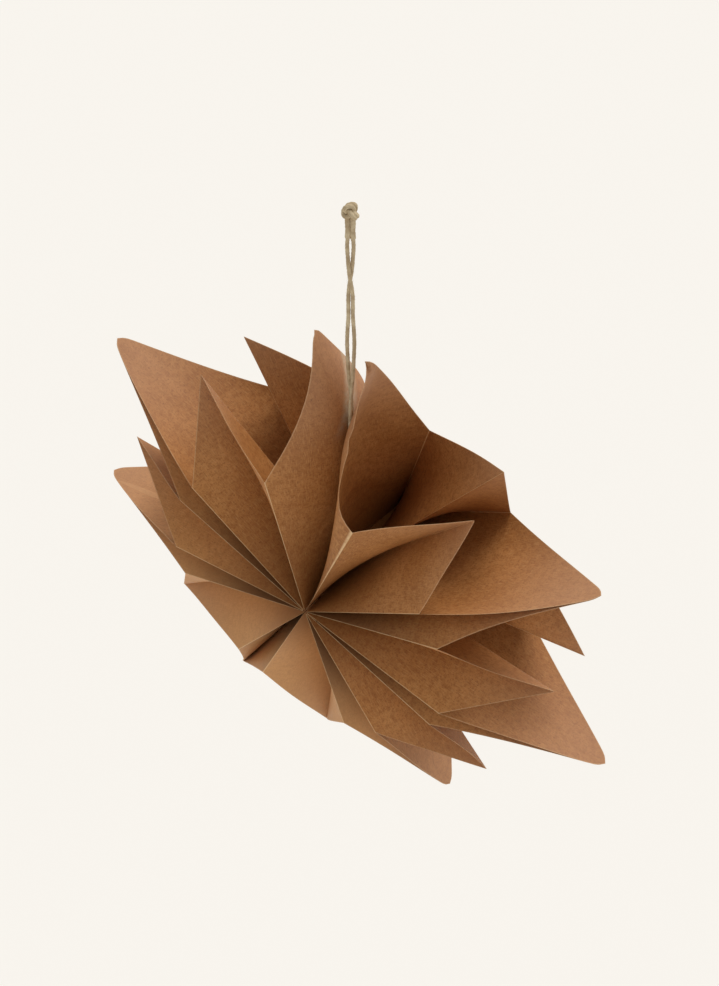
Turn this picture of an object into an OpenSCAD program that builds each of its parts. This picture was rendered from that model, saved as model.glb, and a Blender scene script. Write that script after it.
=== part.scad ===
// Hanging paper star: seven gusseted paper bags, stacked and glued down the middle of their panels,
// cut to points and fanned out to a full circle. The closing seam holds a knotted loop of twine.
// The star hangs by the loop: the origin is where the loop bears, the disc is upright and faces -Y.

/* [Paper bags] */
// Width of a flat bag between its side folds
panel_w = 73.5; // [60:0.5:90]
// Length of a panel from the star's axis to its tip
panel_len = 150; // [135:1:170]
// Length of a side fold from the axis to the shoulder where the point starts
ridge_len = 77; // [65:1:88]
// How far a side fold sinks toward the middle of the star at its shoulder
ridge_drop = 1; // [0:0.25:4]
// The same for the two side folds next to the seam
seam_ridge_drop = 3.5; // [0:0.25:6]
// Length of a gusset's crease from the axis to the gusset's tip
crease_len = 120.5; // [110:0.5:130]
// Gap at the axis between the creases of a bag's two gussets
crease_gap = 1.5; // [1:0.25:6]
// How far a panel's cut edges swell past the straight line from its tip to its shoulder
edge_swell = 1.3; // [0:0.1:3]
// Thickness of the paper
paper_t = 0.2; // [0.1:0.05:0.3]
// Width of the glued stripe down the middle of a panel, and of the blunt tip that it ends in
stripe_w = 4; // [3:0.5:7]
// Radius of the open middle where the bottoms of the bags meet
hub_r = 1.25; // [1:0.25:3]

/* [Seam] */
// Distance from the axis at which the seam starts to make room for the twine
seam_shut = 20; // [16:1:24]
// Distance from the axis at which the seam is as wide as the twine
seam_open = 38; // [32:1:40]
// Distance from the axis at which the two seam panels start to part
seam_len = 88; // [80:1:96]
// How far the tips of the two seam panels curl toward the star's face
seam_tip_lift = 6; // [0:0.5:8]
// How far the first seam panel's tip curls aside
first_tip_reach = 16; // [4:1:24]
// How far the last seam panel's tip curls aside
last_tip_reach = 12; // [4:1:24]
// Bow of the last seam panel's face half toward the first panel
seam_bow = 6; // [0:0.5:9]

/* [Twine] */
// Diameter of a strand
cord_d = 1.7; // [1.2:0.1:2]
// Distance from the place where the loop bears down to the star's axis
hang_len = 215; // [215:1:240]
// Diameter of the knot
knot_d = 8.5; // [7:0.5:10]
// Height of the knot
knot_h = 15; // [12:0.5:18]

/* [Hidden] */

kraft = "#b98b5e";
twine = "#a8926c";

// Angles of the glued stripes about the axis, from the seam at the top and toward -X
joint_angles = [0, 63, 104, 153, 203.5, 252.5, 299.5, 360];
// Angles of each bag's side folds away from the stripe of their own panel, at the face and at the back
face_leans = [[17.5, 7.5], [5, 7], [6.5, 6], [6, 8], [7, 8.5], [2, 8.5], [7, 18.5]];
back_leans = [[11, 8.5], [6, 6], [6, 7], [7, 7], [6.5, 8], [3, 9.5], [6, 14.5]];
// Angles by which the creases sit off the middle between their side folds, at the face and at the back
face_crease_turns = [1, -0.5, 0, 0, 0.5, 0.5, -1.5];
back_crease_turns = [4, 0, 0, 0, 0, 0, -1];
// How far the gussets' tips bend from where flat paper would put them toward the bag's middle, as shares
// of the gusset's depth
face_tip_sink_shares = [0.08, -0.015, 0.03, 0.03, -0.055, 0.08, 0.04];
back_tip_sink_shares = [0.19, 0, 0.03, 0.03, 0, 0, 0.06];

// Rings along a bag, the share of its length that the closed bottom takes, points across each half panel
// and the longest mitres of the folds, in thicknesses
rings = 9;
bottom_share = 0.08;
strips = 4;
ridge_mitre = 20;
crease_mitre = 3;

half_w = panel_w / 2;
gusset_depth = half_w - crease_gap / 2;
last_joint = len(joint_angles) - 1;

// One strand of the loop from its end in the seam up to the knot; the other is its half turn about Z
strand_route = [
    [0, -0.85, -165], [0, -0.85, -145], [0, -0.85, -132], [0, -0.85, -120], [0.2, -0.85, -108],
    [0.7, -0.85, -98], [1.1, -0.2, -88], [1.1, 0.5, -78], [1.3, 0.8, -66], [1.1, 0.7, -57], [0.8, 0.5, -49],
    [0.8, 0.5, -41], [1, 0, -35], [0.7, -0.8, -28], [0, -1, -22], [-0.6, -0.8, -16], [-1.1, -0.7, -8],
    [-0.9, -0.5, -2], [-0.8, -0.5, 1]
];
strand_sides = 8;
route_steps = 3;
knot_z = strand_route[len(strand_route) - 1][2];

// Outline of half the knot as shares of its radius and height
knot_shares = [
    [0, 0], [0.44, 0], [0.48, 0.2], [0.5, 0.42], [0.72, 0.52], [0.94, 0.62], [1, 0.75], [0.92, 0.88],
    [0.6, 0.98], [0, 1]
];

function blend(a, b, t) = a + (b - a) * t;
function clamped(t) = min(1, max(0, t));
function unit(v) = v / norm(v);

// A place on the star: angle about the axis, distance from it, height toward the face
function star_at(angle, r, h) = [-r * sin(angle), -h, r * cos(angle) - hang_len];

// Rises to 1 a third of the way along and sinks to 0 at both ends
function early_arch(v) = 27 / 4 * v * pow(1 - v, 2);

// Point on the edge of a glued stripe; at the seam the first and last stripes make room for the twine
function seam_room(r) = cord_d / 2 * clamped((r - seam_shut) / (seam_open - seam_shut));
function stripe_at(joint, u, h) =
    let (
        r = blend(hub_r, panel_len, u),
        turn = joint == 0 ? asin(seam_room(r) / r) : joint == last_joint ? -asin(seam_room(r) / r) : 0
    )
    star_at(joint_angles[joint] + turn, r, h);

// The two panels at the seam part and curl toward the face as they near their tips
function parted(joint, p) =
    let (
        r = norm([p[0], p[2] + hang_len]),
        t = clamped((r - seam_len) / (panel_len - seam_len)),
        aside = joint == 0 ? -first_tip_reach * t * t
            : joint == last_joint ? last_tip_reach * t * t * (3 - 2 * t)
            : 0
    )
    aside == 0 ? p : p + [aside, -seam_tip_lift * t * t, 0];

// Bag i's side folds: their angles at the face (side 1) or at the back (side -1), and points on them
function ridge_angles(i, side) =
    let (leans = side > 0 ? face_leans[i] : back_leans[i])
    [joint_angles[i] + leans[0], joint_angles[i + 1] - leans[1]];
function ridge_at(i, end, u, side) =
    let (
        at_seam = i + end == 0 || i + end == last_joint,
        drop = at_seam ? seam_ridge_drop : ridge_drop
    )
    star_at(ridge_angles(i, side)[end], blend(hub_r, ridge_len, u), side * (half_w - drop * u));

// A gusset's tip as [distance from the axis, height]: its cut edges and its crease keep the lengths that
// they have in the flat bag, so it lies where two circles in the bag's middle plane cross
function gusset_tip(spread) =
    let (
        cut = norm([gusset_depth, crease_len - ridge_len]),
        shoulder = [ridge_len * cos(spread / 2), half_w - ridge_drop],
        start = [0, crease_gap / 2],
        reach = sqrt(max(0, cut * cut - pow(ridge_len * sin(spread / 2), 2))),
        gap = norm(shoulder - start),
        along = (crease_len * crease_len - reach * reach + gap * gap) / (2 * gap),
        aside = sqrt(max(0, crease_len * crease_len - along * along)),
        way = (shoulder - start) / gap
    )
    start + along * way + aside * [way[1], -way[0]];
function crease_at(i, u, side) =
    let (
        angles = ridge_angles(i, side),
        turn = side > 0 ? face_crease_turns[i] : back_crease_turns[i],
        middle = (angles[0] + angles[1]) / 2 + turn,
        tip = gusset_tip(angles[1] - angles[0]),
        sink = gusset_depth * (side > 0 ? face_tip_sink_shares[i] : back_tip_sink_shares[i])
    )
    star_at(middle, blend(hub_r, tip[0], u), side * blend(crease_gap / 2, tip[1] - sink, u));

// Points across half a gusset from one fold line up to the next, without the last
function gusset_points(a, b) = [for (k = [0 : strips - 1]) blend(a, b, k / strips)];

// Points across half a panel from its stripe to its side fold. The paper bends smoothly out of the plane in
// which it is glued, and sooner at the seam
function panel_points(joint, a, b, bow) =
    let (
        side = [-cos(joint_angles[joint]), 0, -sin(joint_angles[joint])],
        lean = (b - a) * side,
        haste = joint == 0 || joint == last_joint ? 3 : 1
    )
    [for (k = [0 : strips])
        let (
            v = k / strips,
            p = blend(a, b, v) - lean * v * pow(1 - v, haste) * side,
            swell = 1 + edge_swell / panel_len * early_arch(v)
        )
        parted(joint, [
            p[0] * swell - bow * early_arch(1 - v),
            p[1],
            (p[2] + hang_len) * swell - hang_len
        ])
    ];
function reversed(points) = [for (k = [strips : -1 : 0]) points[k]];
function but_last(points) = [for (k = [0 : strips - 1]) points[k]];

// One closed ring around bag i, at the share u of every fold line's length
function ring(i, u) =
    let (
        h = stripe_w / 2,
        bow = i == last_joint - 1 ? seam_bow * u * u : 0,
        stripe_1 = [for (side = [1, -1]) stripe_at(i, u, side * h)],
        stripe_2 = [for (side = [1, -1]) stripe_at(i + 1, u, side * h)],
        ridge_1 = [for (side = [1, -1]) ridge_at(i, 0, u, side)],
        ridge_2 = [for (side = [1, -1]) ridge_at(i, 1, u, side)],
        crease = [for (side = [1, -1]) crease_at(i, u, side)]
    )
    concat(
        but_last(panel_points(i, stripe_1[0], ridge_1[0], 0)),
        gusset_points(ridge_1[0], crease[0]),
        gusset_points(crease[0], ridge_2[0]),
        reversed(panel_points(i + 1, stripe_2[0], ridge_2[0], bow)),
        but_last(panel_points(i + 1, stripe_2[1], ridge_2[1], 0)),
        gusset_points(ridge_2[1], crease[1]),
        gusset_points(crease[1], ridge_1[1]),
        reversed(panel_points(i, stripe_1[1], ridge_1[1], 0))
    );

// First points of the four flaps in a ring; a flap runs from a stripe over a ridge to a crease or back
flap_len = 2 * strips;
flap_starts = [0, flap_len, 2 * flap_len + 1, 3 * flap_len + 1];
ring_n = 4 * flap_len + 2;
crease_spots = [flap_len, 3 * flap_len + 1];

// Inner face of the paper: every outer point moved in by the thickness along the mitre of its two faces
function inner_ring(outer, k) =
    [for (j = [0 : ring_n - 1])
        let (
            here = outer[k][j],
            along = outer[min(k + 1, rings)][j] - outer[k - 1][j],
            face_1 = unit(cross(along, here - outer[k][(j + ring_n - 1) % ring_n])),
            face_2 = unit(cross(along, outer[k][(j + 1) % ring_n] - here)),
            mitre = (face_1 + face_2) / max(1 / ridge_mitre, 1 + face_1 * face_2),
            longest = len(search(j, crease_spots)) > 0 ? crease_mitre : ridge_mitre
        )
        here - paper_t * mitre * min(1, longest / norm(mitre))
    ];

function quad(a, b, c, d) = [[a, b, c], [a, c, d]];
function cap(base) =
    concat(
        [for (s = flap_starts) for (k = [0 : strips - 2])
            for (f = quad(base + s + k, base + s + k + 1, base + (s + flap_len - k - 1) % ring_n,
                base + (s + flap_len - k) % ring_n)) f],
        [for (s = flap_starts) [base + s + strips - 1, base + s + strips, base + s + strips + 1]],
        quad(base, base + flap_len, base + 3 * flap_len + 1, base + ring_n - 1),
        quad(base + flap_len, base + 2 * flap_len, base + 2 * flap_len + 1, base + 3 * flap_len + 1)
    );
function wall(base) =
    [for (j = [0 : ring_n - 1]) let (next = (j + 1) % ring_n)
        for (f = quad(base + j, base + next, base + ring_n + next, base + ring_n + j)) f];
function flipped(faces) = [for (f = faces) [f[2], f[1], f[0]]];

// A gusseted bag with a closed bottom at the axis and an open, pointed mouth
module bag(i) {
    outer = [for (k = [0 : rings]) ring(i, k == 0 ? 0 : blend(bottom_share, 1, (k - 1) / (rings - 1)))];
    inner = [for (k = [1 : rings]) inner_ring(outer, k)];
    mouth = rings * ring_n;
    pocket = mouth + ring_n;
    pocket_mouth = pocket + (rings - 1) * ring_n;
    points = [for (r = concat(outer, inner)) for (p = r) p];
    faces = concat(
        flipped(cap(0)),
        [for (k = [0 : rings - 1]) for (f = wall(k * ring_n)) f],
        cap(pocket),
        [for (k = [0 : rings - 2]) for (f = flipped(wall(pocket + k * ring_n))) f],
        [for (j = [0 : ring_n - 1]) let (next = (j + 1) % ring_n)
            for (f = quad(mouth + j, mouth + next, pocket_mouth + next, pocket_mouth + j)) f]
    );
    color(kraft) polyhedron(points = points, faces = faces);
}

// A smooth curve through the route's points
function route_curve(route) =
    let (last = len(route) - 1)
    concat(
        [for (i = [0 : last - 1]) for (s = [0 : route_steps - 1])
            let (
                t = s / route_steps,
                p = route[max(0, i - 1)],
                a = route[i],
                b = route[i + 1],
                q = route[min(last, i + 2)]
            )
            a + (b - p) * t / 2 + (2 * p - 5 * a + 4 * b - q) * t * t / 2
                + (3 * a - p - 3 * b + q) * t * t * t / 2],
        [route[last]]
    );

// A strand with flat sides toward the panels and toward the other strand
module strand(route) {
    curve = route_curve(route);
    last = len(curve) - 1;
    turn = 360 / strand_sides;
    corner_r = cord_d / 2 / cos(turn / 2);
    points = [for (p = curve) for (k = [0 : strand_sides - 1])
        p + corner_r * [cos(turn * (k + 1 / 2)), sin(turn * (k + 1 / 2)), 0]];
    faces = concat(
        [[for (k = [0 : strand_sides - 1]) k]],
        [for (i = [0 : last - 1]) for (k = [0 : strand_sides - 1])
            let (a = i * strand_sides, next = (k + 1) % strand_sides)
            for (f = quad(a + k, a + strand_sides + k, a + strand_sides + next, a + next)) f],
        [[for (k = [strand_sides - 1 : -1 : 0]) last * strand_sides + k]]
    );
    color(twine) polyhedron(points = points, faces = faces);
}

// The knot that ties the loop's strands: a neck on their upper ends and a head above it
module knot() {
    color(twine) translate([0, 0, knot_z]) rotate_extrude($fn = 48)
        polygon([for (p = knot_shares) [p[0] * knot_d / 2, p[1] * knot_h]]);
}

bag(0);  // bag_1
bag(1);  // bag_2
bag(2);  // bag_3
bag(3);  // bag_4
bag(4);  // bag_5
bag(5);  // bag_6
bag(6);  // bag_7
strand(strand_route);  // twine_1
strand([for (p = strand_route) [-p[0], -p[1], p[2]]]);  // twine_2
knot();
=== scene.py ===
"""Hanging star of gusseted kraft paper bags on a knotted loop of twine."""
import math

import bpy
import numpy as np
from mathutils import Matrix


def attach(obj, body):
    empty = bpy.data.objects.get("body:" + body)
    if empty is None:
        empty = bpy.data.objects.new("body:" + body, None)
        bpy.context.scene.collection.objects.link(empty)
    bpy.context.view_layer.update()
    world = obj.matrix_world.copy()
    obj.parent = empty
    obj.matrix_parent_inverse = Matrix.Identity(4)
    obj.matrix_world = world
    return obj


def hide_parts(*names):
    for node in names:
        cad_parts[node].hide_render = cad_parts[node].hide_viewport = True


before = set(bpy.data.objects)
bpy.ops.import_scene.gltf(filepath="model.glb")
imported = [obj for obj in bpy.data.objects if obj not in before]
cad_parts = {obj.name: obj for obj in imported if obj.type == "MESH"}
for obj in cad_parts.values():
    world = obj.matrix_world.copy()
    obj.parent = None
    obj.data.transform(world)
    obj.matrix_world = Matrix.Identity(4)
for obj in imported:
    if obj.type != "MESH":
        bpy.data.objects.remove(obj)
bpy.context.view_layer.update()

MM = 0.001
rng = np.random.default_rng(7)

# Sizes of the bags and of the seam, in millimetres and degrees, as in the part's source
PANEL_W, PANEL_LEN, RIDGE_LEN, CREASE_LEN = 73.5, 150.0, 77.0, 120.5
RIDGE_DROP, SEAM_RIDGE_DROP, CREASE_GAP = 1.0, 3.5, 1.5
PAPER_T, STRIPE_W, HUB_R, HANG_LEN = 0.2, 4.0, 1.25, 215.0
SEAM_LEN = 88.0
# The seam panels close up on the ends of the twine, tighter than in the solid, and press them thin
SEAM_SHUT, SEAM_OPEN, TWINE_PRESSED = 49.0, 54.0, 4.0
SEAM_TIP_LIFT, FIRST_TIP_REACH, LAST_TIP_REACH, SEAM_BOW = 6.0, 16.0, 12.0, 6.0
EDGE_SWELL = 1.3
CORD_D = 1.7
JOINT_ANGLES = [0, 63, 104, 153, 203.5, 252.5, 299.5, 360]
FACE_LEANS = [[17.5, 7.5], [5, 7], [6.5, 6], [6, 8], [7, 8.5], [2, 8.5], [7, 18.5]]
BACK_LEANS = [[11, 8.5], [6, 6], [6, 7], [7, 7], [6.5, 8], [3, 9.5], [6, 14.5]]
FACE_CREASE_TURNS = [1, -0.5, 0, 0, 0.5, 0.5, -1.5]
BACK_CREASE_TURNS = [4, 0, 0, 0, 0, 0, -1]
FACE_TIP_SINK_SHARES = [0.08, -0.015, 0.03, 0.03, -0.055, 0.08, 0.04]
BACK_TIP_SINK_SHARES = [0.19, 0, 0.03, 0.03, 0, 0, 0.06]
HALF_W = PANEL_W / 2
GUSSET_DEPTH = HALF_W - CREASE_GAP / 2
LAST_JOINT = len(JOINT_ANGLES) - 1

# One strand of the loop, as in the part's source
STRAND_ROUTE = np.array([
    [0, -0.85, -165], [0, -0.85, -145], [0, -0.85, -132], [0, -0.85, -120], [0.2, -0.85, -108],
    [0.7, -0.85, -98], [1.1, -0.2, -88], [1.1, 0.5, -78], [1.3, 0.8, -66], [1.1, 0.7, -57], [0.8, 0.5, -49],
    [0.8, 0.5, -41], [1, 0, -35], [0.7, -0.8, -28], [0, -1, -22], [-0.6, -0.8, -16], [-1.1, -0.7, -8],
    [-0.9, -0.5, -2], [-0.8, -0.5, 1]])


def linear(hex_colour):
    """sRGB hex to the linear values that shader sockets take."""
    c = np.array([int(hex_colour[k:k + 2], 16) for k in (1, 3, 5)]) / 255
    return tuple(np.where(c <= 0.04045, c / 12.92, ((c + 0.055) / 1.055) ** 2.4)) + (1.0,)


# Paper bags

def star_at(angle, r, h):
    """A place on the star: angle about the axis from the seam, distance from it, height toward the face."""
    a = np.radians(angle)
    return np.stack([-r * np.sin(a), -h + 0 * r, r * np.cos(a) - HANG_LEN], -1)


def early_arch(v):
    """Rises to 1 a third of the way along and sinks to 0 at both ends."""
    return 6.75 * v * (1 - v) ** 2


def late_arch(v):
    """Rises to 1 nine tenths of the way along and sinks to 0 at both ends."""
    return 25.8 * v ** 9 * (1 - v)


def stripe_line(joint, u, h):
    """Edge of a glued stripe; the two at the seam make room for the twine."""
    r = HUB_R + (PANEL_LEN - HUB_R) * u
    room = CORD_D / 2 * np.clip((r - SEAM_SHUT) / (SEAM_OPEN - SEAM_SHUT), 0, 1)
    shift = room * {0: 1, LAST_JOINT: -1}.get(joint, 0)
    return star_at(JOINT_ANGLES[joint] + np.degrees(np.arcsin(shift / r)), r, h + 0 * u)


def parted(joint, points):
    """The two panels at the seam part and curl toward the face as they near their tips."""
    if joint not in (0, LAST_JOINT):
        return points
    r = np.hypot(points[..., 0], points[..., 2] + HANG_LEN)
    t = np.clip((r - SEAM_LEN) / (PANEL_LEN - SEAM_LEN), 0, 1)
    aside = -FIRST_TIP_REACH * t * t if joint == 0 else LAST_TIP_REACH * t * t * (3 - 2 * t)
    return points + np.stack([aside, -SEAM_TIP_LIFT * t * t, 0 * r], -1)


def ridge_angles(bag, side):
    """Angles of a bag's two ridges: its joints' angles, moved inward by the leans of its panels."""
    first, second = (FACE_LEANS if side > 0 else BACK_LEANS)[bag]
    return JOINT_ANGLES[bag] + first, JOINT_ANGLES[bag + 1] - second


def ridge_line(bag, end, u, side):
    """A side fold of a bag, straight out from the hub, which drops a little toward the shoulder."""
    drop = SEAM_RIDGE_DROP if bag + end in (0, LAST_JOINT) else RIDGE_DROP
    r = HUB_R + (RIDGE_LEN - HUB_R) * u
    return star_at(ridge_angles(bag, side)[end], r, side * (HALF_W - drop * u))


def gusset_tip(spread):
    """Where a gusset's cut edges and crease, at their flat lengths, meet: two circles cross."""
    half = math.radians(spread / 2)
    cut = math.hypot(GUSSET_DEPTH, CREASE_LEN - RIDGE_LEN)
    shoulder = np.array([RIDGE_LEN * math.cos(half), HALF_W - RIDGE_DROP])
    start = np.array([0, CREASE_GAP / 2])
    reach = math.sqrt(cut ** 2 - (RIDGE_LEN * math.sin(half)) ** 2)
    gap = np.linalg.norm(shoulder - start)
    along = (CREASE_LEN ** 2 - reach ** 2 + gap ** 2) / (2 * gap)
    way = (shoulder - start) / gap
    return start + along * way + math.sqrt(CREASE_LEN ** 2 - along ** 2) * np.array([way[1], -way[0]])


def crease_line(bag, u, side):
    """The gusset's middle crease, straight from the hub to the gusset's tip, half way between the ridges."""
    a, b = ridge_angles(bag, side)
    turn = (FACE_CREASE_TURNS if side > 0 else BACK_CREASE_TURNS)[bag]
    sink = (FACE_TIP_SINK_SHARES if side > 0 else BACK_TIP_SINK_SHARES)[bag]
    r, h = gusset_tip(b - a) - [0, GUSSET_DEPTH * sink]
    middle = (a + b) / 2 + turn
    return star_at(middle, HUB_R + (r - HUB_R) * u, side * (CREASE_GAP / 2 + (h - CREASE_GAP / 2) * u))


# Bows of the half panels away from flat, in millimetres, positive out of the bag. Each row is one bag:
# panel, gusset, gusset, panel at the face, then the same four from the last panel round the back.
PANEL_BOWS = [
    [0, 0.8, -0.8, 0.6, 0.6, -0.8, 0.8, 0],
    [-0.4, 0.6, 0.5, 0.4, 0.4, 0.6, -0.5, 0.4],
    [0.4, 1.4, -0.8, 0.5, -0.4, 0.8, 0.6, 0.4],
    [0.5, 0.8, 1.2, -0.5, 0.4, -0.7, 0.7, 0.5],
    [-0.5, 0.7, -0.6, 0.5, 0.4, 0.6, -0.8, 0.5],
    [0.4, -0.7, 0.8, 0.4, 0.4, 0.7, 0.6, -0.4],
    [0.4, -0.6, -0.3, 0, 0, 1.5, -0.8, 0.4],
]
# Edges that turn more than this, in degrees, are shaded as folds
FOLD_ANGLE = 28
# Depth of the slow ripple in each half panel
RIPPLE_DEPTH = 0.45
# Painted light: share of a paler colour laid on each bag's paper, for the extra light on the bags at the
# lower left
BAG_PAINTED_LIGHT = [0, 0.15, 0.45, 0.45, 0, 0, 0]
# How near to its glued stripe a panel bends: the higher, the nearer
PANEL_HASTE, SEAM_HASTE = 1, 3
# How far the corners of the blunt tips are cut back, and over what share of a half panel
TIP_ROUND, TIP_ROUND_SHARE = 1.5, 0.08
# How the tips of the two seam panels are bent at their face corners, over a long and over a short way, with
# the powers of the shares along and across a panel for each, and the nearness of a tip's back corner
TIP_HOOKS = {0: ([0.3, 3.5, 0], [0, 0, 0]), LAST_JOINT: ([3.2, 0, 0], [-5.7, 3.5, 0])}
HOOK_POWERS, BACK_CORNER = ((12, 7), (48, 28)), 0.95
# Crumpled face edge of the last seam panel: depth of its fold beside the shoulder, the share of that by which
# the paper beside the fold draws back, and the depth of its small waves
CRUMPLE_FOLD, CRUMPLE_BACK, CRUMPLE_WAVE = 5.0, 0.42, 0.35

# The ten strips round a bag: panel, two gusset halves, panel and stripe at the face, and the same round the
# back, from the second panel to the first
FIRST_JOINT_STRIPS, SECOND_JOINT_STRIPS, STRIPS_FROM_STRIPE = (0, 8, 9), (3, 4, 5), (0, 5)
# Columns in a strip, rings along a bag, and the ring where the inside begins
STRIPS, RINGS, POCKET_ROW = 20, 72, 5
# The wall thins toward a fold over this many millimetres, to this share, and toward the hub over these rings
FOLD_THIN, FOLD_SHARE, HUB_THIN_RINGS = 2.5, 0.02, 6
V = (1 - np.cos(np.pi * np.arange(STRIPS) / STRIPS)) / 2
U = np.linspace(0, 1, RINGS)
# How fast the wear and painted highlight of a fold fade beside the two edges of a strip, and the least
# distance from a fold there:
# stripes have no fold, ridges a broad one and creases a narrow one
RIDGE_WEAR_AND_HIGHLIGHT, CREASE_WEAR_AND_HIGHLIGHT, NO_WEAR_OR_HIGHLIGHT = (1, 0), (3, 0), (1, 9)
STRIP_WEAR_AND_HIGHLIGHT = [(NO_WEAR_OR_HIGHLIGHT, RIDGE_WEAR_AND_HIGHLIGHT), (RIDGE_WEAR_AND_HIGHLIGHT, CREASE_WEAR_AND_HIGHLIGHT), (CREASE_WEAR_AND_HIGHLIGHT, RIDGE_WEAR_AND_HIGHLIGHT),
              (RIDGE_WEAR_AND_HIGHLIGHT, NO_WEAR_OR_HIGHLIGHT), (NO_WEAR_OR_HIGHLIGHT, NO_WEAR_OR_HIGHLIGHT)]


def fold_lines(bag):
    """The ten lines between the strips round a bag: edges of stripes, ridges and creases."""
    h = STRIPE_W / 2
    return [stripe_line(bag, U, h), ridge_line(bag, 0, U, 1), crease_line(bag, U, 1),
            ridge_line(bag, 1, U, 1), stripe_line(bag + 1, U, h), stripe_line(bag + 1, U, -h),
            ridge_line(bag, 1, U, -1), crease_line(bag, U, -1), ridge_line(bag, 0, U, -1),
            stripe_line(bag, U, -h)]


def bowed(grid, a, b, v, bag, half_panel):
    """A half panel between lines a and b, moved square to itself by a parabolic bow and a slow ripple, which
    are nil along its folds and grow outward from the hub."""
    u = U[:, None]
    arch = 4 * v * (1 - v)
    out = np.cross(b[-1] - b[0] + a[-1] - a[0], b[-1] - a[-1])
    out = out / np.linalg.norm(out)
    ripple = RIPPLE_DEPTH * np.sin(5 * u + 4 * v + 2.1 * bag + 1.3 * half_panel)
    bow = PANEL_BOWS[bag][half_panel] * u ** 1.5 + ripple * u
    return grid + (bow * arch)[..., None] * out


def bent_out(grid, a, b, from_stripe, joint, strip):
    """A panel that lies along its joint at the stripe and bends smoothly out to its ridge: its distance from
    the joint's plane loses lean * s * (1 - s) ** haste, with s the share of the way from the stripe."""
    side = star_at(JOINT_ANGLES[joint] + 90, np.array(1.0), 0) + [0, 0, HANG_LEN]
    lean = (b - a) @ side * (1 if strip in STRIPS_FROM_STRIPE else -1)
    haste = SEAM_HASTE if joint in (0, LAST_JOINT) else PANEL_HASTE
    bend = from_stripe * (1 - from_stripe) ** haste
    return grid - (lean[:, None] * bend)[..., None] * side


def trimmed(grid, v, from_stripe, stripe):
    """The cut edge of a panel swells outward between tip and shoulder, by an early arch, and the corners of
    its blunt tip are cut back, by a parabola that dies out quickly toward the hub."""
    swell = EDGE_SWELL / PANEL_LEN * early_arch(from_stripe)
    rounding = 1 - 2 * v if stripe else np.clip(1 - from_stripe / TIP_ROUND_SHARE, 0, 1) ** 2
    corner = TIP_ROUND / PANEL_LEN * rounding
    radial = (grid - [0, 0, -HANG_LEN]) * [1, 0, 1]
    return grid + radial * (swell - corner * U[:, None] ** 8)[..., None]


def crumpled(grid, v):
    """The face half of the last seam panel, from its ridge to its stripe: it bows toward the first panel by
    an early arch, folds over beside its shoulder and has two small waves added up along its cut edge."""
    u = U[:, None]
    fold = SEAM_BOW * early_arch(v) + CRUMPLE_FOLD * (late_arch(1 - v) - CRUMPLE_BACK * early_arch(v))
    wave = CRUMPLE_WAVE * (np.sin(26 * v + 1) + 0.7 * np.sin(41 * v)) * 4 * v * (1 - v)
    return grid - (u ** 2 * fold + u ** 8 * wave)[..., None] * [1, 0, 0]


def hooked(grid, v, joint, strip):
    """The tip of a seam panel, bent by high powers of the nearness to its face corner."""
    from_face = 1 - (1 - BACK_CORNER) * v
    near = {0: 1 - v, 3: v, 4: from_face, 5: BACK_CORNER * (1 - v), 8: BACK_CORNER * v,
            9: 1 + BACK_CORNER - from_face}[strip]
    for bent, (power_along, power_across) in zip(TIP_HOOKS[joint], HOOK_POWERS):
        hook = U[:, None] ** power_along * near ** power_across
        grid = grid + hook[..., None] * bent
    return grid


def bag_arrays(bag):
    """Rings round a bag at shares of every fold line's length. Each strip is a straight blend from one line
    to the next, then bowed, bent out of its stripe and trimmed; the seam's panels are parted and hooked too.
    Gives the points, their flat places on the unfolded bag, and their distances from folds and cut edges."""
    lines = fold_lines(bag)
    long, short, mid = PANEL_LEN - HUB_R, RIDGE_LEN - HUB_R, CREASE_LEN - HUB_R
    lengths = [long, short, mid, short, long] * 2
    half_panel = HALF_W - STRIPE_W / 2
    widths = [half_panel, GUSSET_DEPTH, GUSSET_DEPTH, half_panel, STRIPE_W] * 2
    points, flat_x, flat_y, fold_far, edge_far = [], [], [], [], []
    u = U[:, None]
    x = 0.0
    for strip in range(10):
        a, b = lines[strip], lines[(strip + 1) % 10]
        stripe = strip % 5 == 4
        v = np.array([0, 0.5]) if stripe else V
        joint = bag if strip in FIRST_JOINT_STRIPS else bag + 1 if strip in SECOND_JOINT_STRIPS else None
        grid = a[:, None] + (b - a)[:, None] * v[None, :, None]
        if not stripe:
            grid = bowed(grid, a, b, v, bag, strip - strip // 5)
        if joint is not None:
            from_stripe = 0 * v if stripe else v if strip in STRIPS_FROM_STRIPE else 1 - v
            grid = bent_out(grid, a, b, from_stripe, joint, strip)
            grid = trimmed(grid, v, from_stripe, stripe)
        if joint == LAST_JOINT and strip == 3:
            grid = crumpled(grid, v)
        grid = parted(joint, grid)
        if joint in TIP_HOOKS:
            grid = hooked(grid, v, joint, strip)
        points.append(grid)
        width, growth = widths[strip], lengths[(strip + 1) % 10] - lengths[strip]
        reach = lengths[strip] + growth * v
        flat_x.append(np.broadcast_to(x + width * v, (RINGS, len(v))))
        flat_y.append(HUB_R + u * reach)
        (keen_a, far_a), (keen_b, far_b) = STRIP_WEAR_AND_HIGHLIGHT[strip % 5]
        near = np.minimum(width * v * keen_a + far_a, width * (1 - v) * keen_b + far_b)
        fold_far.append(np.broadcast_to(near, (RINGS, len(v))))
        edge_far.append((1 - u) * reach * width / math.hypot(width, growth))
        x += width
    flat_x.append(np.full((RINGS, 1), x))
    for columns in (flat_y, fold_far, edge_far):
        columns.append(columns[0][:, :1])
    return [np.concatenate(columns, 1) for columns in (points, flat_x, flat_y, fold_far, edge_far)]


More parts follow.
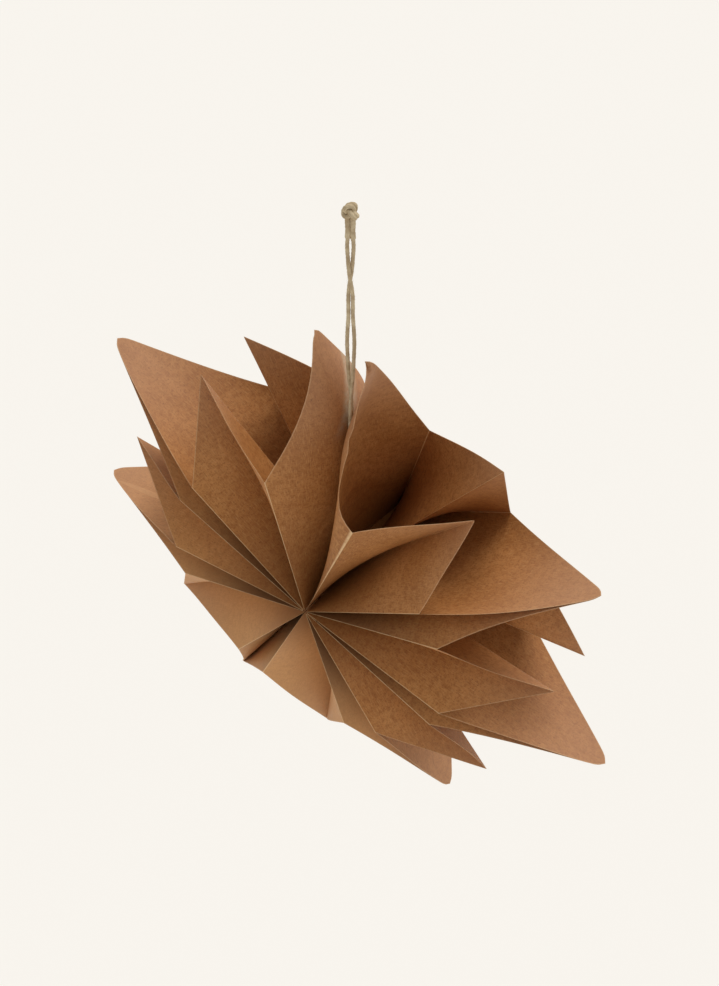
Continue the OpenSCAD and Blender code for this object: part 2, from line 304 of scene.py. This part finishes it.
def mesh_object(name, verts, quads, uv_layers, material, sharp=None):
    """A mesh from arrays: verts in millimetres, quads as rows of four, uv_layers as name to (corners, 2)."""
    mesh = bpy.data.meshes.new(name)
    mesh.from_pydata((verts * MM).tolist(), [], quads.tolist())
    for layer_name, values in uv_layers.items():
        layer = mesh.uv_layers.new(name=layer_name)
        layer.data.foreach_set("uv", np.ascontiguousarray(values, dtype=np.float32).ravel())
    mesh.polygons.foreach_set("use_smooth", np.ones(len(quads), dtype=bool))
    mesh.update()
    if sharp is not None:
        mesh.set_sharp_from_angle(angle=math.radians(sharp))
    obj = bpy.data.objects.new(name, mesh)
    bpy.context.scene.collection.objects.link(obj)
    mesh.materials.append(material)
    return obj


def grid_quads(rows, columns):
    """Corner indices of a grid of rows by columns that closes on itself sideways, with each corner's row and
    its column, counted on past the closing line."""
    i, j = np.meshgrid(np.arange(rows - 1), np.arange(columns), indexing="ij")
    i, j = i.ravel(), j.ravel()
    row = np.stack([i + 1, i + 1, i, i], 1)
    column = np.stack([j, j + 1, j + 1, j], 1)
    return row * columns + column % columns, row, column


def glued_faces(bag, column):
    """Which faces, by the columns of their corners, lie on panels that are glued to a neighbouring bag."""
    half, place = np.divmod(column.min(1), 4 * STRIPS + 2)
    first = np.where(half == 0, place < STRIPS, place >= 3 * STRIPS)
    second = np.where(half == 0, place >= 3 * STRIPS, place < STRIPS)
    return (first & (bag > 0)) | (second & (bag + 1 < LAST_JOINT))


def paper_bag(bag, material):
    """A closed shell: the outer skin, an inner skin moved in by the thickness along the averaged normals,
    the cut edge between them, and both bottoms closed by folding every flap flat, panel onto gusset."""
    outer, flat_x, flat_y, fold_far, edge_far = bag_arrays(bag)
    columns = outer.shape[1]
    along = np.gradient(outer, axis=0)
    across = np.roll(outer, -1, 1) - np.roll(outer, 1, 1)
    normal = np.cross(along, across)
    normal /= np.maximum(np.linalg.norm(normal, axis=2, keepdims=True), 1e-9)
    thick = PAPER_T * np.clip(fold_far[:, :columns] / FOLD_THIN, FOLD_SHARE, 1)
    thick = thick * np.clip((np.arange(RINGS)[:, None] - POCKET_ROW) / HUB_THIN_RINGS, 0, 1)
    inner = (outer - normal * thick[..., None])[POCKET_ROW:]
    starts = np.array([0, 2 * STRIPS, 4 * STRIPS + 2, 6 * STRIPS + 2])
    across_flap = np.arange(1, 2 * STRIPS)
    partner = np.arange(columns)
    partner[starts[:, None] + across_flap] = starts[:, None] + 2 * STRIPS - across_flap
    middle = np.setdiff1d(np.arange(columns), starts[:, None] + across_flap)
    bottom, pocket_bottom = ((ring + ring[partner]) / 2 for ring in (outer[0], inner[0]))
    bottom[middle] = bottom[middle].mean(0)
    pocket_bottom[middle] = pocket_bottom[middle].mean(0)

    skin = np.concatenate([bottom[None], outer, inner[::-1], pocket_bottom[None]])
    quads, row, column = grid_quads(len(skin), columns)
    rings = np.arange(RINGS)
    source = np.concatenate([[0], rings, rings[POCKET_ROW:][::-1], [POCKET_ROW]])[row]
    flat = np.stack([flat_x[source, column], flat_y[source, column]], 2) * MM
    wear = np.stack([fold_far[source, column], edge_far[source, column]], 2) * MM
    outside = row <= RINGS
    glued = outside & glued_faces(bag, column)[:, None]
    layers = {"flat": flat.reshape(-1, 2), "wear": wear.reshape(-1, 2),
              "faces": np.stack([outside, glued], 2).reshape(-1, 2),
              "pulp": np.full((quads.size, 2), BAG_PAINTED_LIGHT[bag])}
    return mesh_object(f"Kraft_Bag_{bag + 1}", skin.reshape(-1, 3), quads, layers, material, FOLD_ANGLE)


# Twine

def smooth_curve(points, steps):
    """Catmull-Rom curve through the points."""
    p = np.concatenate([points[:1], points, points[-1:]])
    t = np.arange(steps)[None, :, None] / steps
    before, a, b, after = (p[k:len(p) - 3 + k][:, None] for k in range(4))
    curve = (a + (b - before) * t / 2 + (2 * before - 5 * a + 4 * b - after) * t ** 2 / 2
             + (3 * a - before - 3 * b + after) * t ** 3 / 2)
    return np.concatenate([curve.reshape(-1, 3), points[-1:]])


def curve_frames(curve):
    """Tangents along a curve and two normals, the first square to Y; the curves here never run along Y."""
    tangent = np.gradient(curve, axis=0)
    tangent /= np.linalg.norm(tangent, axis=1, keepdims=True)
    side = np.cross(tangent, [0, 1, 0])
    side /= np.linalg.norm(side, axis=1, keepdims=True)
    return tangent, side, np.cross(tangent, side)


# Millimetres in one turn of the lay, plies in a strand, sides of a tube
LAY_PITCH, PLIES, SIDES = 5.5, 3, 24
# Loose fibres on each strand: how many, their shortest and longest, and their radius at the root
FIBRE_COUNT, FIBRE_LENGTHS, FIBRE_R = 260, (0.8, 2.6), 0.035


def laid_tube(name, curve, diameter, material, tilt=0.0, pressed=0.0):
    """A tube along a curve whose section has one rounded lobe for each ply, turning once in a lay pitch.
    Over the pressed length at its first end it thins evenly to a fifth."""
    tangent, side, up = curve_frames(curve)
    s = np.concatenate([[0], np.cumsum(np.linalg.norm(np.diff(curve, axis=0), axis=1))])
    angle = np.linspace(0, 2 * np.pi, SIDES, endpoint=False)
    phase = PLIES * (angle[None, :] - 2 * np.pi * s[:, None] / LAY_PITCH - tilt)
    uneven = 0.03 * np.sin(s[:, None] * 0.9 + tilt) + 0.03 * np.sin(s[:, None] * 2.3 + 2 * tilt)
    radius = diameter / 2 * (0.86 + 0.16 * np.abs(np.cos(phase / 2)) ** 0.7 + uneven)
    if pressed:
        radius = radius * np.clip(0.2 + 0.8 * s / pressed, 0, 1)[:, None]
    ring = (side[:, None] * np.cos(angle)[None, :, None] + up[:, None] * np.sin(angle)[None, :, None])
    rows = curve[:, None] + ring * radius[..., None]
    closed = np.concatenate([curve[:1, None] + 0 * rows[:1], rows, curve[-1:, None] + 0 * rows[-1:]])
    quads, row, column = grid_quads(len(closed), SIDES)
    run = np.concatenate([s[:1], s, s[-1:]])
    flat = np.stack([column / SIDES * math.pi * diameter, run[row]], 2) * MM
    return mesh_object(name, closed.reshape(-1, 3), quads, {"flat": flat.reshape(-1, 2)}, material)


def twine_fibres(name, curve, diameter, count, material):
    """Loose fibre ends: three-sided tapered slivers that leave the strand at a low angle and bend away by a
    parabola."""
    tangent, side, up = curve_frames(curve)
    at = rng.integers(2, len(curve) - 2, count)
    angle = rng.uniform(0, 2 * np.pi, count)
    out = side[at] * np.cos(angle)[:, None] + up[at] * np.sin(angle)[:, None]
    lean = tangent[at] * rng.choice([-1, 1], count)[:, None]
    length = rng.uniform(*FIBRE_LENGTHS, count)
    t = np.linspace(0, 1, 5)
    root = (curve[at] + out * diameter * 0.4)[:, None]
    along, away = length[:, None] * t, length[:, None] * (0.12 * t + 0.3 * t ** 2)
    spine = root + lean[:, None] * along[..., None] + out[:, None] * away[..., None]
    taper = (FIBRE_R * (1 - 0.85 * t))[None, :, None]
    wide = np.cross(lean, out)[:, None] * taper
    deep = out[:, None] * taper
    corners = np.stack([spine + wide, spine - wide / 2 + deep, spine - wide / 2 - deep], 2)
    base = np.arange(count)[:, None, None] * len(t) * 3
    i, j = np.meshgrid(np.arange(len(t) - 1), np.arange(3), indexing="ij")
    here, beside = i * 3 + j, i * 3 + (j + 1) % 3
    quad = np.stack([here, beside, beside + 3, here + 3], 2).reshape(-1, 4)
    quads = (base + quad[None]).reshape(-1, 4)
    flat = np.zeros((quads.size, 2))
    return mesh_object(name, corners.reshape(-1, 3), quads, {"flat": flat}, material)


# Materials

def add_node(tree, kind, inputs=(), **settings):
    """A shader node with its settings, values and links: inputs maps a socket to a value or an output."""
    node = tree.nodes.new("ShaderNode" + kind)
    for key, value in settings.items():
        setattr(node, key, value)
    for socket, value in dict(inputs).items():
        if isinstance(value, bpy.types.NodeSocket):
            tree.links.new(value, node.inputs[socket])
        else:
            node.inputs[socket].default_value = value
    return node


def new_material(name):
    """A new material with its node tree and its shader."""
    material = bpy.data.materials.new(name)
    material.use_nodes = True
    tree = material.node_tree
    return material, tree, tree.nodes["Principled BSDF"]


def tinted(tree, colour, tints):
    """A colour with tints laid over it in turn. Each tint has a hex colour and masks, whose product is its
    share. A mask is an output from 0 to 1, or a pattern, two of its values and the shares there."""
    for tint, *masks in tints:
        share = 1.0
        for mask in masks:
            if isinstance(mask, tuple):
                ramp = add_node(tree, "MapRange", dict(enumerate(mask)), interpolation_type="SMOOTHSTEP")
                mask = ramp.outputs[0]
            share = add_node(tree, "Math", {0: share, 1: mask}, operation="MULTIPLY").outputs[0]
        colour = add_node(tree, "Mix", {0: share, 6: colour, 7: linear(tint)}, data_type="RGBA").outputs[2]
    return colour


def kraft_paper():
    """Unbleached kraft, machine made: cloudy brown with long fibres along the bag, dark shives, a dull
    surface, and paler paper along folds and cut edges, partly from wear and partly painted highlight."""
    material, tree, shader = new_material("kraft_paper")
    flat, wear, faces, pulp = (add_node(tree, "UVMap", uv_map=layer).outputs[0]
                               for layer in ("flat", "wear", "faces", "pulp"))
    reach = add_node(tree, "SeparateXYZ", {0: flat}).outputs[1]
    fold_far, edge_far, _ = add_node(tree, "SeparateXYZ", {0: wear}).outputs
    outside, glued, _ = add_node(tree, "SeparateXYZ", {0: faces}).outputs
    painted_light_share = add_node(tree, "SeparateXYZ", {0: pulp}).outputs[0]
    place = add_node(tree, "TexCoord").outputs["Object"]
    x, y, z = add_node(tree, "SeparateXYZ", {0: place}).outputs
    # Clouds of pulp, about 25 mm across
    clouds = add_node(tree, "TexNoise", {"Vector": place, "Scale": 1 / (25 * MM), "Detail": 2.0}).outputs[0]
    # Mottle, about 3 mm
    mottle = add_node(tree, "TexNoise", {"Vector": flat, "Scale": 1 / (3 * MM), "Detail": 4.0,
                                         "Roughness": 0.65}).outputs[0]
    # Grain, about 0.9 mm
    grain = add_node(tree, "TexNoise", {"Vector": flat, "Scale": 1 / (0.9 * MM), "Detail": 2.0}).outputs[0]
    # Fibres along the bag, drawn coarse so that they show: 0.35 mm wide and 4 mm long
    along = add_node(tree, "Mapping", {"Vector": flat, "Scale": (1 / (0.35 * MM), 1 / (4 * MM), 1.0)})
    fibres = add_node(tree, "TexNoise", {"Vector": along.outputs[0], "Scale": 1.0, "Detail": 2.0}).outputs[0]
    # Shives: rare dark specks
    specks = add_node(tree, "TexNoise", {"Vector": flat, "Scale": 1 / (1.4 * MM), "Detail": 1.0}).outputs[0]
    # Folds are paler on the outside, from wear and painted highlight, and inside only where they lie open,
    # clear of the hub
    clear = add_node(tree, "MapRange", {0: reach, 1: 12 * MM, 2: 30 * MM}, interpolation_type="SMOOTHSTEP")
    open_fold = add_node(tree, "Math", {0: outside, 1: clear.outputs[0]}, operation="MAXIMUM").outputs[0]
    # Distance across the glue smear, which slants up toward the back
    across = add_node(tree, "Math", {0: z, 1: -0.43, 2: y}, operation="MULTIPLY_ADD").outputs[0]

    colour = tinted(tree, linear("#ac723c"), [
        ("#b97f48", (clouds, 0.35, 0.65, 0.0, 1.0)),
        ("#8e5426", (mottle, 0.42, 0.66, 0.0, 0.5)),
        ("#7e4820", (grain, 0.48, 0.7, 0.0, 0.5)),
        ("#ca975f", (fibres, 0.48, 0.72, 0.0, 0.5)),
        ("#55311a", (specks, 0.72, 0.79, 0.0, 0.6)),
        # Painted light: paler on the bags at the lower left
        ("#dca972", painted_light_share),
        # Painted shade, darker toward the hub between its packed folds, and painted light, paler toward the
        # tips
        ("#70411b", (reach, 5 * MM, 65 * MM, 0.55, 0.0)),
        ("#bd947a", (reach, 70 * MM, 145 * MM, 0.0, 0.42)),
        # Darker on the faces that are glued to the next bag, for the shade in the narrow gaps between bags
        ("#47260f", glued, (reach, 15 * MM, 100 * MM, 0.65, 0.0)),
        # Folds and cut edges, paler partly from wear and partly from painted highlight
        ("#ebc797", (fold_far, 0.08 * MM, 0.38 * MM, 0.85, 0.0), (mottle, 0.3, 0.6, 0.5, 1.0), open_fold),
        ("#dcb78d", (edge_far, 0.1 * MM, 0.5 * MM, 0.5, 0.0), (fibres, 0.3, 0.6, 0.5, 1.0)),
        # Dried glue, smeared over the outside of the first seam panel beside the twine
        ("#cdbb9f", (across, 42 * MM, 46 * MM, 0.0, 1.0), (across, 52 * MM, 60 * MM, 1.0, 0.0),
         (z, -126 * MM, -108 * MM, 0.0, 1.0), (z, -88 * MM, -72 * MM, 1.0, 0.0),
         (x, -18 * MM, -13 * MM, 0.0, 1.0), (x, -1.5 * MM, -0.5 * MM, 1.0, 0.0),
         outside, (mottle, 0.35, 0.6, 0.3, 0.75)),
    ])
    dullness = add_node(tree, "MapRange", {0: fibres, 1: 0.3, 2: 0.8, 3: 0.58, 4: 0.7},
                        interpolation_type="SMOOTHSTEP")
    felt = add_node(tree, "Math", {0: fibres, 1: mottle}, operation="MULTIPLY")
    relief = add_node(tree, "Bump", {"Height": felt.outputs[0], "Strength": 0.3, "Distance": 0.15 * MM})
    tree.links.new(colour, shader.inputs["Base Color"])
    tree.links.new(dullness.outputs[0], shader.inputs["Roughness"])
    tree.links.new(relief.outputs[0], shader.inputs["Normal"])
    shader.inputs["Specular IOR Level"].default_value = 0.22
    return material


def jute_twine():
    """Dry natural twine, spun and laid: grey tan, dull, with paler and darker fibres along the lay."""
    material, tree, shader = new_material("jute_twine")
    flat = add_node(tree, "UVMap", uv_map="flat").outputs[0]
    place = add_node(tree, "TexCoord").outputs["Object"]
    # Fibres along the strand, drawn coarse so that they show: 0.2 mm wide and 2.5 mm long
    along = add_node(tree, "Mapping", {"Vector": flat, "Scale": (1 / (0.2 * MM), 1 / (2.5 * MM), 1.0)})
    fibres = add_node(tree, "TexNoise", {"Vector": along.outputs[0], "Scale": 1.0, "Detail": 3.0}).outputs[0]
    # Paler and darker stretches, about 6 mm long
    patches = add_node(tree, "TexNoise", {"Vector": place, "Scale": 1 / (6 * MM), "Detail": 2.0}).outputs[0]
    colour = tinted(tree, linear("#b5a080"), [
        ("#d2c1a1", (patches, 0.35, 0.65, 0.0, 1.0)),
        ("#8f7a5a", (fibres, 0.5, 0.75, 0.0, 0.6)),
    ])
    grain = add_node(tree, "Bump", {"Height": fibres, "Strength": 0.5, "Distance": 0.15 * MM})
    tree.links.new(colour, shader.inputs["Base Color"])
    tree.links.new(grain.outputs[0], shader.inputs["Normal"])
    shader.inputs["Roughness"].default_value = 0.9
    shader.inputs["Specular IOR Level"].default_value = 0.15
    return material


def pale_floor():
    """Smooth matt off-white studio floor, plain on purpose."""
    material, _, shader = new_material("studio_floor")
    shader.inputs["Base Color"].default_value = linear("#f9f6f1")
    shader.inputs["Roughness"].default_value = 0.95
    shader.inputs["Specular IOR Level"].default_value = 0.0
    return material


# Pieces

kraft, jute = kraft_paper(), jute_twine()

for bag in range(LAST_JOINT):
    piece = paper_bag(bag, kraft)
    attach(piece, "root")
    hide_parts(f"bag_{bag + 1}")

# The knot: both strands run up through its neck into a doubled overhand knot, drawn tight. Its turns follow a
# trefoil of sines and cosines of one, two and three times the angle round it.
KNOT_REACH, KNOT_MIDDLE, KNOT_TURN_D, KNOT_TURN_SHIFT, NECK_D = 1.1, 11.8, 1.9, 0.7, 2.3
NECK_ROUTE = np.array([[-0.95, -0.55, -3], [-0.8, -0.5, 1], [-0.9, -0.5, 4], [-1, -0.4, 7],
                       [-0.8, -0.2, 10], [-0.4, 0, 13]])
around = np.linspace(0, 2 * np.pi, 120)
overhand = np.stack([KNOT_REACH * (np.sin(around) + 2 * np.sin(2 * around)), -KNOT_REACH * np.sin(3 * around),
                     KNOT_MIDDLE - KNOT_REACH * (np.cos(around) - 2 * np.cos(2 * around))], 1)
knot_turns = [laid_tube(f"Knot_Turn_{k + 1}", overhand + [0, shift, 0], KNOT_TURN_D, jute, tilt=k)
              for k, shift in enumerate((KNOT_TURN_SHIFT, -KNOT_TURN_SHIFT))]
necks = [laid_tube(f"Knot_Neck_{k + 1}", smooth_curve(NECK_ROUTE * [way, way, 1], 8), NECK_D, jute, tilt=k)
         for k, way in enumerate((1, -1))]
for piece in knot_turns + necks:
    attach(piece, "root")
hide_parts("knot")

for k, half_turn in enumerate((1, -1)):
    route = smooth_curve(STRAND_ROUTE * [half_turn, half_turn, 1], 14)
    strand = laid_tube(f"Twine_{k + 1}", route, CORD_D, jute, tilt=k, pressed=TWINE_PRESSED)
    fibres = twine_fibres(f"Twine_Fibres_{k + 1}", route, CORD_D, FIBRE_COUNT, jute)
    for piece in (strand, fibres):
        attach(piece, "root")
    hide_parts(f"twine_{k + 1}")

# Stage, light and camera

# Half width and height of the floor, in metres
FLOOR_HALF, FLOOR_Z = 40, -1.25
floor_corners = [(x * FLOOR_HALF, y * FLOOR_HALF, FLOOR_Z) for x, y in ((-1, -1), (1, -1), (1, 1), (-1, 1))]
floor_mesh = bpy.data.meshes.new("Floor")
floor_mesh.from_pydata(floor_corners, [], [(0, 1, 2, 3)])
floor_mesh.materials.append(pale_floor())
floor = bpy.data.objects.new("Floor", floor_mesh)
bpy.context.scene.collection.objects.link(floor)

world = bpy.data.worlds.new("Studio")
bpy.context.scene.world = world
world.use_nodes = True
# The backdrop behind the floor's edge shows in the floor's colour, and the object is lit by a plain soft sky
studio = world.node_tree
seen = add_node(studio, "LightPath").outputs
direct = add_node(studio, "Math", {0: seen["Is Camera Ray"], 1: seen["Is Glossy Ray"]}, operation="MAXIMUM")
shown = add_node(studio, "Math", {0: direct.outputs[0], 1: seen["Is Transmission Ray"]}, operation="MAXIMUM")
sky = add_node(studio, "Background", {0: linear("#fffdf9"), 1: 0.5})
backdrop = add_node(studio, "Background", {0: linear("#f9f5ee"), 1: 1.0})
either = add_node(studio, "MixShader", {0: shown.outputs[0], 1: sky.outputs[0], 2: backdrop.outputs[0]})
studio.links.new(either.outputs[0], studio.nodes["World Output"].inputs[0])


def soft_sun(name, toward, strength, angle):
    """A broad, even light; toward is the way its rays go."""
    lamp = bpy.data.lights.new(name, "SUN")
    lamp.energy, lamp.angle = strength, math.radians(angle)
    obj = bpy.data.objects.new(name, lamp)
    bpy.context.scene.collection.objects.link(obj)
    z = -np.array(toward, dtype=float) / np.linalg.norm(toward)
    x = np.cross([0, 0, 1], z)
    x /= np.linalg.norm(x)
    obj.matrix_world = [[*c, 0] for c in zip(x, np.cross(z, x), z)] + [[0, 0, 0, 1]]


soft_sun("Key", (0.35, 0.45, -0.82), 1.9, 40)

# The photograph's view: focal length and frame height in pixels, place in metres, tilt and turn in degrees
FOCAL_PX, FRAME_H_PX, SENSOR = 2546.7, 986, 36
CAMERA_PLACE, CAMERA_DOWN, CAMERA_TURN = (0.4237, -0.5879, 0.7252), 50.865, 35.49
camera_data = bpy.data.cameras.new("Camera")
camera_data.sensor_width = SENSOR
camera_data.lens = SENSOR * FOCAL_PX / FRAME_H_PX
camera_data.clip_start, camera_data.clip_end = 0.05, 200
camera = bpy.data.objects.new("Camera", camera_data)
bpy.context.scene.collection.objects.link(camera)
camera.location = CAMERA_PLACE
camera.rotation_euler = (math.radians(90 - CAMERA_DOWN), 0, math.radians(CAMERA_TURN))
bpy.context.scene.camera = camera

bpy.context.scene.view_settings.view_transform = "Standard"
